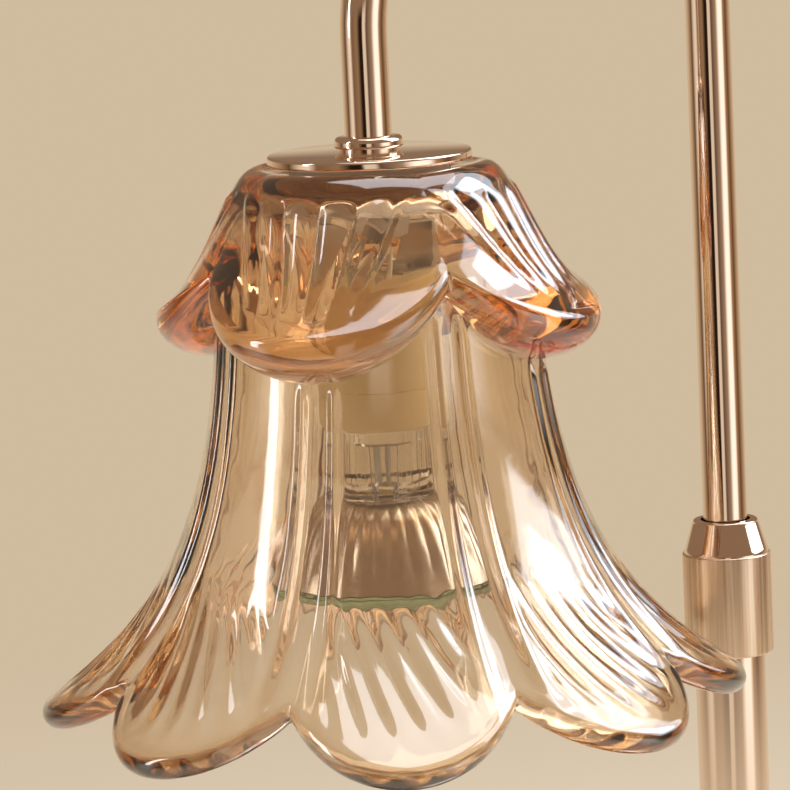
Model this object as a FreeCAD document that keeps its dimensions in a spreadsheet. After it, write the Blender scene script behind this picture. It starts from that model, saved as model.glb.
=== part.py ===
import FreeCAD, Part
import math
import os
import re
import Sketcher
from FreeCAD import Placement, Rotation, Vector

# Table lamp with a two-tier pressed-glass tulip shade hung from a height-adjustable arch.
# Millimetres, +Z up. The origin is the middle of the base, on the surface it stands on.
# The post stands towards +X. The arch carries the shade back over the base, towards -X.

sizes = {
    # base
    "baseDiameter": 170, "baseHeight": 20, "coverWall": 1.2, "coverRound": 5,
    "plateThickness": 1.2, "plateGap": 0.3,
    "footInset": 10, "footWidth": 10, "footHeight": 2,
    "weightGap": 1, "weightThickness": 10,
    "bossDiameter": 12, "bossCircle": 100, "bossCount": 3,
    "screwDiameter": 4, "screwGap": 0.2, "screwLength": 8, "screwHead": 7.5, "screwHeadHeight": 1.5,
    "inletBore": 6, "inletNeck": 8, "inletFlange": 11, "inletFlangeThickness": 1.5, "inletHeight": 9.5,
    "inletGap": 0.05,
    "cordSlotWidth": 8, "cordSlotDepth": 5,
    # post
    "postInset": 19, "postDiameter": 16, "postWall": 1, "postLength": 140,
    "studDiameter": 10, "studGap": 0.1, "studBore": 6, "studLength": 14.5, "plugLength": 14,
    "flangeDiameter": 30, "flangeThickness": 3.5, "flangeEdge": 1,
    "washerDiameter": 20, "washerThickness": 1.2, "washerHole": 10.4,
    "nutFlats": 17, "nutThickness": 5, "nutPocket": 24, "nutPocketDepth": 4,
    # twist lock at the top of the post
    "threadDiameter": 17.6, "threadLength": 9, "seatLip": 2.5, "seatBore": 10.8,
    "sleeveDiameter": 20, "sleeveBelow": 13, "sleeveLength": 23, "sleeveLip": 2, "sleeveEdge": 0.5,
    "threadGap": 0.08, "postGap": 0.3,
    "noseLength": 7.5, "noseFoot": 19.2, "noseTop": 14.8, "noseSpigot": 3, "noseRim": 0.8, "noseCone": 2.5,
    "colletDiameter": 14.8, "colletLength": 9, "colletTaper": 2.4, "colletSlot": 1.2,
    "colletSlotDepth": 6.3, "colletSlots": 4, "colletGap": 0.3,
    # arm
    "armReach": 94, "tubeDiameter": 10, "tubeWall": 1, "tubeGap": 0.05, "legHeight": 24,
    "legEnd": 66, "capHeight": 270,
    "bushLength": 14, "bushGap": 0.05, "bushWallGap": 0.05, "clipThickness": 1, "clipDiameter": 13,
    "clipGroove": 0.2, "clipOpening": 6, "bushStand": 5,
    # fittings above the glass
    "discDiameter": 43.4, "discThickness": 2, "discEdge": 0.5,
    "ferruleDiameter": 14.6, "ferruleHeight": 2.4, "ferruleStep": 1, "ferruleStepDiameter": 13.2,
    "ferruleEdge": 0.6,
    "nippleDiameter": 8, "nippleBore": 5, "nippleAbove": 16, "nippleBelow": 21,
    # fittings under the glass
    "gasketDiameter": 34, "gasketThickness": 1, "gasketSpigot": 23.4, "gasketSpigotDepth": 4,
    "gasketBore": 8.2, "retainerDiameter": 36, "retainerThickness": 1.2,
    "lockNutFlats": 13, "lockNutThickness": 4,
    "bracketWidth": 22, "bracketDepth": 12, "bracketSheet": 1, "bracketLegs": 19.8, "bracketFoot": 8,
    "holderDiameter": 26, "holderTopHeight": 15.5, "skirtHeight": 8.5, "holderEdge": 0.8,
    "holderScrewCircle": 12, "holderScrewDiameter": 3, "holderScrewLength": 8,
    "holderScrewHead": 5.5, "holderScrewHeadHeight": 2,
    "leadDiameter": 2.2, "leadSpacing": 2.5, "leadDrop": 4, "leadRise": 5,
    "contactWidth": 4, "contactSheet": 0.8, "contactGap": 0.3, "contactRoom": 3.2,
    # lamp bulb with a two-pin twist base
    "bulbDiameter": 50, "lensThickness": 2.6, "lensEdge": 0.6, "bowlHeight": 18, "bowlWall": 1.8,
    "neckRadius": 10.3, "neckHeight": 3, "neckGroove": 9.2,
    "blockDiameter": 20.4, "blockHeight": 22.5, "blockInset": 2, "blockGap": 0.5, "blockSeat": 0.2,
    "pinSpacing": 10, "pinDiameter": 2.6, "pinHead": 5, "pinHeadHeight": 3, "pinLength": 7,
    "pinRoot": 1.5, "pinGap": 0.4, "pinLift": 0.3, "twistAngle": 25,
    "cementDiameter": 11, "cementDepth": 8, "cavityTop": 2.5,
    "capsuleDiameter": 9, "capsuleLength": 26, "capsuleWall": 0.8, "pinchLength": 4,
    "filamentDiameter": 0.8, "filamentSpread": 3.6, "filamentRise": 13,
    # glass shade
    "shadeDiameter": 151, "shadeHeight": 116.7, "shadeWall": 3.4, "shadeLip": 6,
    "petalNotch": 11, "petalCup": 0.8, "ribHeight": 1, "ribAngle": 17,
    "bellTopDiameter": 70.4, "bellTopDepth": 40.6, "bellFlare": 2.6,
    "neckHole": 24, "neckTop": 44, "neckThickness": 5,
    "leafTipDiameter": 96, "leafTipDepth": 30.6, "leafUnderDepth": 40.6,
    "valleyTipDiameter": 73, "valleyTipDepth": 18.5, "valleyUnderDepth": 24,
    "leafCrown": 0.66, "leafRise": 4.5, "leafShoulder": 0.64, "leafSag": 0.62,
    "leafRoll": 1.8, "leafRollDepth": 5.5, "leafTuck": 4,
    "valleyCrown": 0.79, "valleyRise": 1, "valleyShoulder": 0.86, "valleySag": 0.6,
    "valleyRoll": 1.5, "valleyRollDepth": 2.5, "valleyTuck": 0.5,
    "leafSpread": 2.1, "shadeTurn": 56,
}

doc = FreeCAD.newDocument("TulipShadeTableLamp")
sheet = doc.addObject("Spreadsheet::Sheet", "Sizes")
for line, (alias, number) in enumerate(sizes.items(), 1):
    sheet.set("A%d" % line, alias)
    sheet.set("B%d" % line, str(number))
    sheet.setAlias("B%d" % line, alias)
doc.recompute()

parts = []


def bound(text):
    # every word of a formula is the alias of a cell
    return re.sub(r"[a-zA-Z]+", lambda word: "Sizes." + word.group(), text)


def value(text):
    return float(sheet.evalExpression(bound(text)))


# heights and places that several pieces share
plateTop = "(footHeight + plateThickness)"
coverUnder = "(baseHeight - coverWall)"
weightUnder = "(baseHeight - coverWall - weightThickness)"
nutSeat = "(baseHeight - coverWall - weightThickness + nutPocketDepth)"
postTop = "(baseHeight + postLength)"
sleeveTop = "(baseHeight + postLength - sleeveBelow + sleeveLength)"
colletFoot = "(baseHeight + postLength + seatLip)"
threadBore = "(threadDiameter + 2 * threadGap)"
gripBore = "(tubeDiameter + 2 * tubeGap)"
postX = "(baseDiameter / 2 - postInset)"
shadeX = "(%s - armReach)" % postX
glassTop = "(0 - discThickness - gasketThickness)"
glassUnder = "(0 - discThickness - gasketThickness - neckThickness)"
retainerTop = "(0 - discThickness - 2 * gasketThickness - neckThickness)"
upperNut = "(0 - discThickness - 2 * gasketThickness - neckThickness - retainerThickness)"
bracketTop = "(0 - discThickness - 2 * gasketThickness - neckThickness - retainerThickness" \
    " - lockNutThickness)"
holderTop = "(%s - bracketLegs)" % bracketTop
holderJoin = "(%s - holderTopHeight)" % holderTop
holderFoot = "(%s - skirtHeight)" % holderJoin
blockTop = "(%s + blockInset)" % holderJoin
ledge = "(%s + pinLength - pinHeadHeight - pinLift)" % blockTop
chamberTop = "(%s + pinLength + contactGap + contactRoom)" % blockTop
blockFoot = "(%s - blockHeight)" % blockTop
bowlTop = "(%s - neckHeight)" % blockFoot
bowlFoot = "(%s - bowlHeight)" % bowlTop
cavity = "(%s - cavityTop)" % blockTop
cementFoot = "(%s - cementDepth)" % cavity
pinchTop = "(%s - pinchLength)" % cementFoot
clipLow = "(legEnd + bushStand)"
clipHigh = "(legEnd + bushStand + clipThickness + bushLength + 2 * bushGap)"


def steps(count):
    return [number / (count - 1) for number in range(count)]


def new_part(name, x="0", z="0"):
    body = doc.addObject("PartDesign::Body", name)
    body.Label = name
    place(body, x, z)
    return body


def place(part, x="0", z="0"):
    part.Placement = Placement(Vector(value(x), 0, value(z)), Rotation())
    part.setExpression(".Placement.Base.x", bound(x))
    part.setExpression(".Placement.Base.z", bound(z))
    parts.append(part)


def origin(body, role):
    return next(item for item in body.Origin.OriginFeatures if item.Role == role)


def sketch(body, name, role="XZ_Plane", lift="0"):
    drawing = body.newObject("Sketcher::SketchObject", name)
    drawing.AttachmentSupport = [(origin(body, role), "")]
    drawing.MapMode = "FlatFace"
    if lift != "0":
        drawing.setExpression(".AttachmentOffset.Base.z", bound(lift))
    return drawing


def pin(drawing, geometry, end, x, y):
    # holds a point at x and y from the origin of its sketch
    for kind, axis, text in (("DistanceX", -2, x), ("DistanceY", -1, y)):
        number = value(text)
        if abs(number) < 1e-9:
            drawing.addConstraint(Sketcher.Constraint("PointOnObject", geometry, end, axis))
            continue
        if number > 0:
            rule = drawing.addConstraint(Sketcher.Constraint(kind, -1, 1, geometry, end, number))
            drawing.setExpression("Constraints[%d]" % rule, bound(text))
        else:
            rule = drawing.addConstraint(Sketcher.Constraint(kind, geometry, end, -1, 1, -number))
            drawing.setExpression("Constraints[%d]" % rule, bound("0 - (%s)" % text))


def outline(drawing, points):
    # closed outline of straight lines
    first = drawing.GeometryCount
    spots = [Vector(value(x), value(y), 0) for x, y in points]
    for number, spot in enumerate(spots):
        drawing.addGeometry(Part.LineSegment(spot, spots[(number + 1) % len(spots)]), False)
    for number, (x, y) in enumerate(points):
        before = first + (number - 1) % len(points)
        drawing.addConstraint(Sketcher.Constraint("Coincident", before, 2, first + number, 1))
        pin(drawing, first + number, 1, x, y)
    return drawing


def circle(drawing, diameter, x="0", y="0"):
    middle = Vector(value(x), value(y), 0)
    ring = Part.Circle(middle, Vector(0, 0, 1), value(diameter) / 2)
    geometry = drawing.addGeometry(ring, False)
    rule = drawing.addConstraint(Sketcher.Constraint("Diameter", geometry, value(diameter)))
    drawing.setExpression("Constraints[%d]" % rule, bound(diameter))
    pin(drawing, geometry, 3, x, y)
    return drawing


def rectangle(drawing, left, low, right, high):
    return outline(drawing, [(left, low), (right, low), (right, high), (left, high)])


def turned(body, name, points):
    # turned about the vertical axis of the body
    feature = body.newObject("PartDesign::Revolution", name)
    feature.Profile = outline(sketch(body, name + "Outline"), points)
    feature.ReferenceAxis = (feature.Profile[0], ["V_Axis"])
    feature.Angle = 360
    doc.recompute()
    return feature


def padded(body, name, drawing, length, downwards=False):
    feature = body.newObject("PartDesign::Pad", name)
    feature.Profile = drawing
    feature.setExpression("Length", bound(length))
    feature.Reversed = downwards
    doc.recompute()
    return feature


def cut(body, name, drawing, length, upwards=False, both=False):
    feature = body.newObject("PartDesign::Pocket", name)
    before = body.Shape.Volume
    feature.Profile = drawing
    feature.setExpression("Length", bound(length))
    feature.Reversed = upwards
    feature.Midplane = both
    doc.recompute()
    if not body.Shape.Volume < before:
        raise RuntimeError(body.Label + ": " + name + " cuts nothing")
    return feature


def ringed(body, features, count):
    # repeats features round the vertical axis of the body
    pattern = body.newObject("PartDesign::PolarPattern", features[0].Name + "Ring")
    pattern.Originals = features
    pattern.Axis = (origin(body, "Z_Axis"), [""])
    pattern.Angle = 360
    pattern.setExpression("Occurrences", bound(count))
    body.Tip = pattern
    doc.recompute()
    return pattern


def chamfered(body, name, size, rims):
    # chamfer on the round edges with these radii and heights
    base = body.Tip
    wanted = [(value(radius), value(height)) for radius, height in rims]
    names = []
    for number, edge in enumerate(base.Shape.Edges, 1):
        if edge.Curve.TypeId != "Part::GeomCircle":
            continue
        spot = (edge.Curve.Radius, edge.Curve.Center.z)
        if any(math.dist(spot, place) < 0.02 for place in wanted):
            names.append("Edge%d" % number)
    if not names:
        raise RuntimeError(body.Label + ": no edge for " + name)
    feature = body.newObject("PartDesign::Chamfer", name)
    feature.Base = (base, names)
    feature.setExpression("Size", bound(size))
    doc.recompute()
    return feature


def wires(name, routes, diameter):
    # round wires along straight runs with mitred corners; each route starts upwards or downwards
    solids = []
    for route in routes:
        spots = [Vector(x, y, z) for x, y, z in route]
        ring = Part.Circle(spots[0], Vector(0, 0, 1), value(diameter) / 2)
        spine = Part.makePolygon(spots)
        solids.append(spine.makePipeShell([Part.Wire(ring.toShape())], True, False, 1))
    bundle = doc.addObject("Part::Feature", name)
    bundle.Label = name
    bundle.Shape = Part.makeCompound(solids) if len(solids) > 1 else solids[0]
    place(bundle, shadeX, "capHeight")


def tube(name, outer, bore, low, high, x="0", z="0"):
    body = new_part(name, x, z)
    outer_half = "%s / 2" % outer
    bore_half = "%s / 2" % bore
    turned(body, "Ring", [(bore_half, low), (outer_half, low), (outer_half, high), (bore_half, high)])
    return body


def hexagon(drawing, flats):
    # nut outline; a corner is 1 / sqrt(3) of the width across the flats from the middle
    corner = flats + " * 0.57735"
    slope = flats + " * 0.288675"
    half = flats + " / 2"
    return outline(drawing, [
        (corner, "0"), (slope, half), ("0 - " + slope, half),
        ("0 - " + corner, "0"), ("0 - " + slope, "0 - " + half), (slope, "0 - " + half)])


# ---- base ----

def make_base():
    cover = new_part("base_cover")
    rim = "baseDiameter / 2"
    inside = "(baseDiameter / 2 - coverWall)"
    arc = "coverRound * 0.293"
    turned(cover, "Dish", [
        ("0", coverUnder), (rim + " - coverRound", coverUnder), (inside, "baseHeight - coverRound"),
        (inside, "footHeight"), (rim, "footHeight"), (rim, "baseHeight - coverRound"),
        (rim + " - " + arc, "baseHeight - " + arc), (rim + " - coverRound", "baseHeight"),
        ("0", "baseHeight")])
    hole = circle(sketch(cover, "StudHoleOutline", "XY_Plane", "baseHeight"),
                  "studDiameter + 2 * studGap", postX)
    cut(cover, "StudHole", hole, "2 * coverWall")
    inlet = circle(sketch(cover, "InletOutline", "YZ_Plane"), "inletNeck", "0", "inletHeight")
    cut(cover, "Inlet", inlet, "baseDiameter", upwards=True)

    weight = new_part("base_weight")
    edge = "(baseDiameter / 2 - coverRound - weightGap)"
    turned(weight, "Disc", [("0", weightUnder), (edge, weightUnder), (edge, coverUnder), ("0", coverUnder)])
    boss = circle(sketch(weight, "BossOutline", "XY_Plane", weightUnder),
                  "bossDiameter", "0 - bossCircle / 2")
    ringed(weight, [padded(weight, "Boss", boss, "%s - %s" % (weightUnder, plateTop), True)], "bossCount")
    thread = circle(sketch(weight, "ScrewHoleOutline", "XY_Plane", plateTop),
                    "screwDiameter", "0 - bossCircle / 2")
    ringed(weight, [cut(weight, "ScrewHole", thread, "screwLength", upwards=True)], "bossCount")
    pocket = circle(sketch(weight, "NutPocketOutline", "XY_Plane", weightUnder), "nutPocket", postX)
    cut(weight, "NutPocket", pocket, "nutPocketDepth", upwards=True)
    hole = circle(sketch(weight, "StudHoleOutline", "XY_Plane", nutSeat), "washerHole", postX)
    cut(weight, "StudHole", hole, "weightThickness", upwards=True)
    slot = rectangle(sketch(weight, "CordSlotOutline", "XY_Plane", weightUnder),
                     postX, "0 - cordSlotWidth / 2", "baseDiameter / 2", "cordSlotWidth / 2")
    cut(weight, "CordSlot", slot, "cordSlotDepth", upwards=True)

    plate = new_part("base_plate")
    edge = "%s - plateGap" % inside
    turned(plate, "Disc", [("0", "footHeight"), (edge, "footHeight"), (edge, plateTop), ("0", plateTop)])
    hole = circle(sketch(plate, "ScrewHoleOutline", "XY_Plane", "footHeight"),
                  "screwDiameter + 2 * screwGap", "0 - bossCircle / 2")
    ringed(plate, [cut(plate, "ScrewHole", hole, "plateThickness", upwards=True)], "bossCount")

    tube("foot_ring", "(baseDiameter - 2 * footInset)", "(baseDiameter - 2 * footInset - 2 * footWidth)",
         "0", "footHeight")

    screws = new_part("plate_screws")
    shank = circle(sketch(screws, "ShankOutline", "XY_Plane", "footHeight"),
                   "screwDiameter", "0 - bossCircle / 2")
    head = circle(sketch(screws, "HeadOutline", "XY_Plane", "footHeight"), "screwHead", "0 - bossCircle / 2")
    features = [padded(screws, "Shank", shank, "screwLength"),
                padded(screws, "Head", head, "screwHeadHeight", True)]
    ringed(screws, features, "bossCount")

    grommet = new_part("cord_inlet", "baseDiameter / 2", "inletHeight")
    wall = "(coverWall + inletFlange * inletFlange / baseDiameter / 2)"
    neck = "(inletNeck / 2 - inletGap)"
    bore = "inletBore / 2"
    flange = "inletFlange / 2"
    outside = "inletFlangeThickness"
    inside = "0 - %s - inletFlangeThickness" % wall
    profile = outline(sketch(grommet, "BushOutline", "XY_Plane"), [
        (inside, bore), (outside, bore), (outside, flange), ("0", flange), ("0", neck),
        ("0 - " + wall, neck), ("0 - " + wall, flange), (inside, flange)])
    bush = grommet.newObject("PartDesign::Revolution", "Bush")
    bush.Profile = profile
    bush.ReferenceAxis = (profile, ["H_Axis"])
    doc.recompute()


# ---- post and twist lock ----

def make_post():
    tube("lower_tube", "postDiameter", "(postDiameter - 2 * postWall)", "baseHeight", postTop, postX)

    plug = new_part("post_plug", postX)
    turned(plug, "Plug", [
        ("studBore / 2", "baseHeight - studLength"), ("studDiameter / 2", "baseHeight - studLength"),
        ("studDiameter / 2", "baseHeight"), ("postDiameter / 2 - postWall", "baseHeight"),
        ("postDiameter / 2 - postWall", "baseHeight + plugLength"),
        ("studBore / 2", "baseHeight + plugLength")])

    flange = tube("post_flange", "flangeDiameter", "postDiameter", "baseHeight",
                  "baseHeight + flangeThickness", postX)
    chamfered(flange, "Edge", "flangeEdge", [("flangeDiameter / 2", "baseHeight + flangeThickness")])

    tube("post_washer", "washerDiameter", "washerHole", "%s - washerThickness" % nutSeat, nutSeat,
         postX)

    nut = new_part("post_nut", postX)
    drawing = hexagon(sketch(nut, "NutOutline", "XY_Plane", "%s - washerThickness" % nutSeat), "nutFlats")
    circle(drawing, "studDiameter")
    padded(nut, "Nut", drawing, "nutThickness", True)


def make_lock():
    seat = new_part("lock_seat", postX)
    turned(seat, "Ring", [
        ("postDiameter / 2", "%s - threadLength" % postTop),
        ("threadDiameter / 2", "%s - threadLength" % postTop), ("threadDiameter / 2", colletFoot),
        ("seatBore / 2", colletFoot), ("seatBore / 2", postTop), ("postDiameter / 2", postTop)])

    collet = new_part("collet", postX, colletFoot)
    turned(collet, "Ring", [
        ("%s / 2" % gripBore, "0"), ("colletDiameter / 2", "0"),
        ("colletDiameter / 2", "colletLength - colletTaper"),
        ("colletDiameter / 2 - colletTaper / 2", "colletLength"), ("%s / 2" % gripBore, "colletLength")])
    slot = rectangle(sketch(collet, "SlotOutline", "XY_Plane", "colletLength"),
                     "tubeDiameter / 4", "0 - colletSlot / 2", "colletDiameter", "colletSlot / 2")
    ringed(collet, [cut(collet, "Slot", slot, "colletSlotDepth")], "colletSlots")

    sleeve = new_part("lock_sleeve", postX, "%s - sleeveBelow" % postTop)
    turned(sleeve, "Ring", [
        ("postDiameter / 2 + postGap", "0"), ("sleeveDiameter / 2", "0"),
        ("sleeveDiameter / 2", "sleeveLength"), ("%s / 2" % threadBore, "sleeveLength"),
        ("%s / 2" % threadBore, "sleeveLip"), ("postDiameter / 2 + postGap", "sleeveLip")])
    chamfered(sleeve, "Edges", "sleeveEdge",
              [("sleeveDiameter / 2", "0"), ("sleeveDiameter / 2", "sleeveLength")])

    nose = new_part("lock_nose", postX, sleeveTop)
    turned(nose, "Ring", [
        ("colletDiameter / 2 + colletGap", "0 - noseSpigot"), ("%s / 2" % threadBore, "0 - noseSpigot"),
        ("%s / 2" % threadBore, "0"), ("noseFoot / 2", "0"), ("noseFoot / 2", "noseRim"),
        ("noseTop / 2", "noseLength - noseRim / 2"), ("noseTop / 2 - noseRim / 2", "noseLength"),
        ("tubeDiameter / 2 + 2 * colletGap", "noseLength"),
        ("tubeDiameter / 2 + 2 * colletGap", "noseLength - 2 * noseRim"),
        ("colletDiameter / 2 + colletGap", "noseCone")])


# ---- arm ----

def tube_section(body, name, x, lift):
    drawing = circle(sketch(body, name, "XY_Plane", lift), "tubeDiameter", x)
    return circle(drawing, "(tubeDiameter - 2 * tubeWall)", x)


def axis_line(body, name, role, lift, ends):
    line = sketch(body, name, role, lift)
    spots = [Vector(value(x), value(y), 0) for x, y in ends]
    line.addGeometry(Part.LineSegment(*spots), False)
    for end, (x, y) in enumerate(ends, 1):
        pin(line, 0, end, x, y)
    return (line, ["Edge1"])


def make_arm():
    arm = new_part("arm_tube", shadeX, "capHeight")
    padded(arm, "ShadeLeg", tube_section(arm, "ShadeLegOutline", "0", "ferruleStep"),
           "legHeight - ferruleStep")
    arch = arm.newObject("PartDesign::Revolution", "Arch")
    arch.Profile = tube_section(arm, "ArchOutline", "0", "legHeight")
    arch.ReferenceAxis = axis_line(arm, "ArchAxis", "XY_Plane", "legHeight",
                                   [("armReach / 2", "0 - tubeDiameter"), ("armReach / 2", "tubeDiameter")])
    arch.Angle = 180
    doc.recompute()
    padded(arm, "PostLeg", tube_section(arm, "PostLegOutline", "armReach", "legHeight"),
           "legHeight + capHeight - legEnd", True)
    for number, low in enumerate((clipLow, clipHigh), 1):
        groove = arm.newObject("PartDesign::Groove", "ClipGroove%d" % number)
        drawing = rectangle(sketch(arm, "ClipGrooveOutline%d" % number),
                            "armReach + tubeDiameter / 2 - clipGroove", "%s - capHeight" % low,
                            "armReach + tubeDiameter", "%s - capHeight + clipThickness" % low)
        groove.Profile = drawing
        groove.ReferenceAxis = axis_line(arm, "ClipAxis%d" % number, "XZ_Plane", "0",
                                         [("armReach", "0"), ("armReach", "legHeight")])
        groove.Angle = 360
        doc.recompute()

    clips = new_part("bush_clips", postX)
    for number, low in enumerate((clipLow, clipHigh), 1):
        drawing = sketch(clips, "ClipOutline%d" % number, "XY_Plane", low)
        circle(drawing, "clipDiameter")
        circle(drawing, "(tubeDiameter - 2 * clipGroove)")
        padded(clips, "Clip%d" % number, drawing, "clipThickness")
    mouth = rectangle(sketch(clips, "MouthOutline", "XY_Plane", "%s + clipThickness" % clipHigh),
                      "0", "0 - clipOpening / 2", "clipDiameter", "clipOpening / 2")
    cut(clips, "Mouth", mouth, "%s - %s + clipThickness" % (clipHigh, clipLow))

    tube("guide_bush", "(postDiameter - 2 * postWall - 2 * bushWallGap)", gripBore,
         "%s + clipThickness + bushGap" % clipLow, "%s - bushGap" % clipHigh, postX)


def make_top_fittings():
    ferrule = new_part("tube_ferrule", shadeX, "capHeight")
    top = "ferruleStep + ferruleHeight"
    turned(ferrule, "Ring", [
        ("nippleDiameter / 2", "0"), ("ferruleStepDiameter / 2", "0"),
        ("ferruleStepDiameter / 2", "ferruleStep"), ("ferruleDiameter / 2", "ferruleStep"),
        ("ferruleDiameter / 2", top), ("tubeDiameter / 2", top), ("tubeDiameter / 2", "ferruleStep"),
        ("nippleDiameter / 2", "ferruleStep")])
    chamfered(ferrule, "Bead", "ferruleEdge",
              [("ferruleDiameter / 2", top), ("ferruleDiameter / 2", "ferruleStep")])

    disc = tube("cap_disc", "discDiameter", "nippleDiameter", "0 - discThickness", "0", shadeX, "capHeight")
    chamfered(disc, "Edges", "discEdge",
              [("discDiameter / 2", "0"), ("discDiameter / 2", "0 - discThickness")])

    tube("shade_nipple", "nippleDiameter", "nippleBore", "0 - nippleBelow", "nippleAbove",
         shadeX, "capHeight")

    gasket = new_part("shade_gasket_upper", shadeX, "capHeight")
    turned(gasket, "Ring", [
        ("gasketBore / 2", "%s - gasketSpigotDepth" % glassTop),
        ("gasketSpigot / 2", "%s - gasketSpigotDepth" % glassTop), ("gasketSpigot / 2", glassTop),
        ("gasketDiameter / 2", glassTop), ("gasketDiameter / 2", "0 - discThickness"),
        ("gasketBore / 2", "0 - discThickness")])

    tube("shade_gasket_lower", "gasketDiameter", "gasketBore", retainerTop, glassUnder, shadeX, "capHeight")
    tube("shade_retainer", "retainerDiameter", "nippleDiameter", upperNut, retainerTop, shadeX, "capHeight")

    nuts = new_part("nipple_nuts", shadeX, "capHeight")
    lower = "%s - bracketSheet" % bracketTop
    for number, top in enumerate((upperNut, lower), 1):
        drawing = hexagon(sketch(nuts, "NutOutline%d" % number, "XY_Plane", top), "lockNutFlats")
        circle(drawing, "nippleDiameter")
        padded(nuts, "Nut%d" % number, drawing, "lockNutThickness", True)


# ---- lampholder ----

def make_holder():
    bracket = new_part("holder_bracket", shadeX, "capHeight")
    half = "bracketWidth / 2"
    low = "%s - bracketLegs" % bracketTop
    inner = "(bracketWidth / 2 - bracketSheet)"
    strap = outline(sketch(bracket, "StrapOutline"), [
        ("0 - " + half, low), ("bracketFoot - " + half, low), ("bracketFoot - " + half, low + " + bracketSheet"),
        ("0 - " + inner, low + " + bracketSheet"), ("0 - " + inner, bracketTop + " - bracketSheet"),
        (inner, bracketTop + " - bracketSheet"), (inner, low + " + bracketSheet"),
        (half + " - bracketFoot", low + " + bracketSheet"), (half + " - bracketFoot", low),
        (half, low), (half, bracketTop), ("0 - " + half, bracketTop)])
    feature = padded(bracket, "Strap", strap, "bracketDepth")
    feature.Midplane = True
    hole = circle(sketch(bracket, "NippleHoleOutline", "XY_Plane", bracketTop), "nippleDiameter")
    cut(bracket, "NippleHole", hole, "2 * bracketSheet")
    for side, x in (("Left", "0 - holderScrewCircle / 2"), ("Right", "holderScrewCircle / 2")):
        hole = circle(sketch(bracket, "ScrewHole%sOutline" % side, "XY_Plane", low + " + bracketSheet"),
                      "holderScrewDiameter", x)
        cut(bracket, "ScrewHole" + side, hole, "bracketSheet")

    screws = new_part("holder_screws", shadeX, "capHeight")
    seat = low + " + bracketSheet"
    for side, x in (("Left", "0 - holderScrewCircle / 2"), ("Right", "holderScrewCircle / 2")):
        head = circle(sketch(screws, "Head%sOutline" % side, "XY_Plane", seat), "holderScrewHead", x)
        padded(screws, "Head" + side, head, "holderScrewHeadHeight")
        shank = circle(sketch(screws, "Shank%sOutline" % side, "XY_Plane", seat), "holderScrewDiameter", x)
        padded(screws, "Shank" + side, shank, "holderScrewLength", True)

    recess = "(blockDiameter / 2 + blockGap)"
    edge = "holderDiameter / 2"
    skirt = new_part("holder_skirt", shadeX, "capHeight")
    turned(skirt, "Ring", [(recess, holderFoot), (edge, holderFoot), (edge, holderJoin), (recess, holderJoin)])
    chamfered(skirt, "FootEdge", "holderEdge", [(edge, holderFoot)])

    ceramic = new_part("holder_top", shadeX, "capHeight")
    block = "%s + blockSeat" % blockTop
    turned(ceramic, "Block", [
        ("0", block), (recess, block), (recess, holderJoin), (edge, holderJoin), (edge, holderTop),
        ("0", holderTop)])
    chamfered(ceramic, "TopEdge", "holderEdge", [(edge, holderTop)])
    for side, x in (("Left", "0 - holderScrewCircle / 2"), ("Right", "holderScrewCircle / 2")):
        hole = circle(sketch(ceramic, "ScrewHole%sOutline" % side, "XY_Plane", holderTop),
                      "holderScrewDiameter", x)
        cut(ceramic, "ScrewHole" + side, hole, "holderScrewLength - bracketSheet")
    for side, sign in (("Front", "0 - "), ("Back", "")):
        hole = circle(sketch(ceramic, "LeadHole%sOutline" % side, "XY_Plane", holderTop),
                      "leadDiameter", "0", sign + "pinSpacing / 2")
        cut(ceramic, "LeadHole" + side, hole, "%s - %s" % (holderTop, chamberTop))
    locked_slot(ceramic, "Slot", block, "pinDiameter + 2 * pinGap", "%s - %s" % (ledge, block), "0")
    locked_slot(ceramic, "Chamber", ledge, "pinHead + 2 * pinGap", "%s - %s" % (chamberTop, ledge), "0")
    locked_slot(ceramic, "Entry", block, "pinHead + 2 * pinGap", "%s - %s" % (ledge, block),
                "twistAngle")

    contacts = new_part("holder_contacts", shadeX, "capHeight")
    head = "(%s + pinLength + contactGap)" % blockTop
    for side, sign in (("Front", "0 - "), ("Back", "")):
        drawing = rectangle(sketch(contacts, "Blade%sOutline" % side, "XY_Plane", head),
                            "0 - contactWidth / 2", sign + "(pinSpacing / 2 - contactWidth / 2)",
                            "contactWidth / 2", sign + "(pinSpacing / 2 + contactWidth / 2)")
        padded(contacts, "Blade" + side, drawing, "contactSheet")
        drawing = circle(sketch(contacts, "Post%sOutline" % side, "XY_Plane", head),
                         "leadDiameter", "0", sign + "pinSpacing / 2")
        padded(contacts, "Post" + side, drawing, "%s - %s" % (chamberTop, head))


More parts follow.
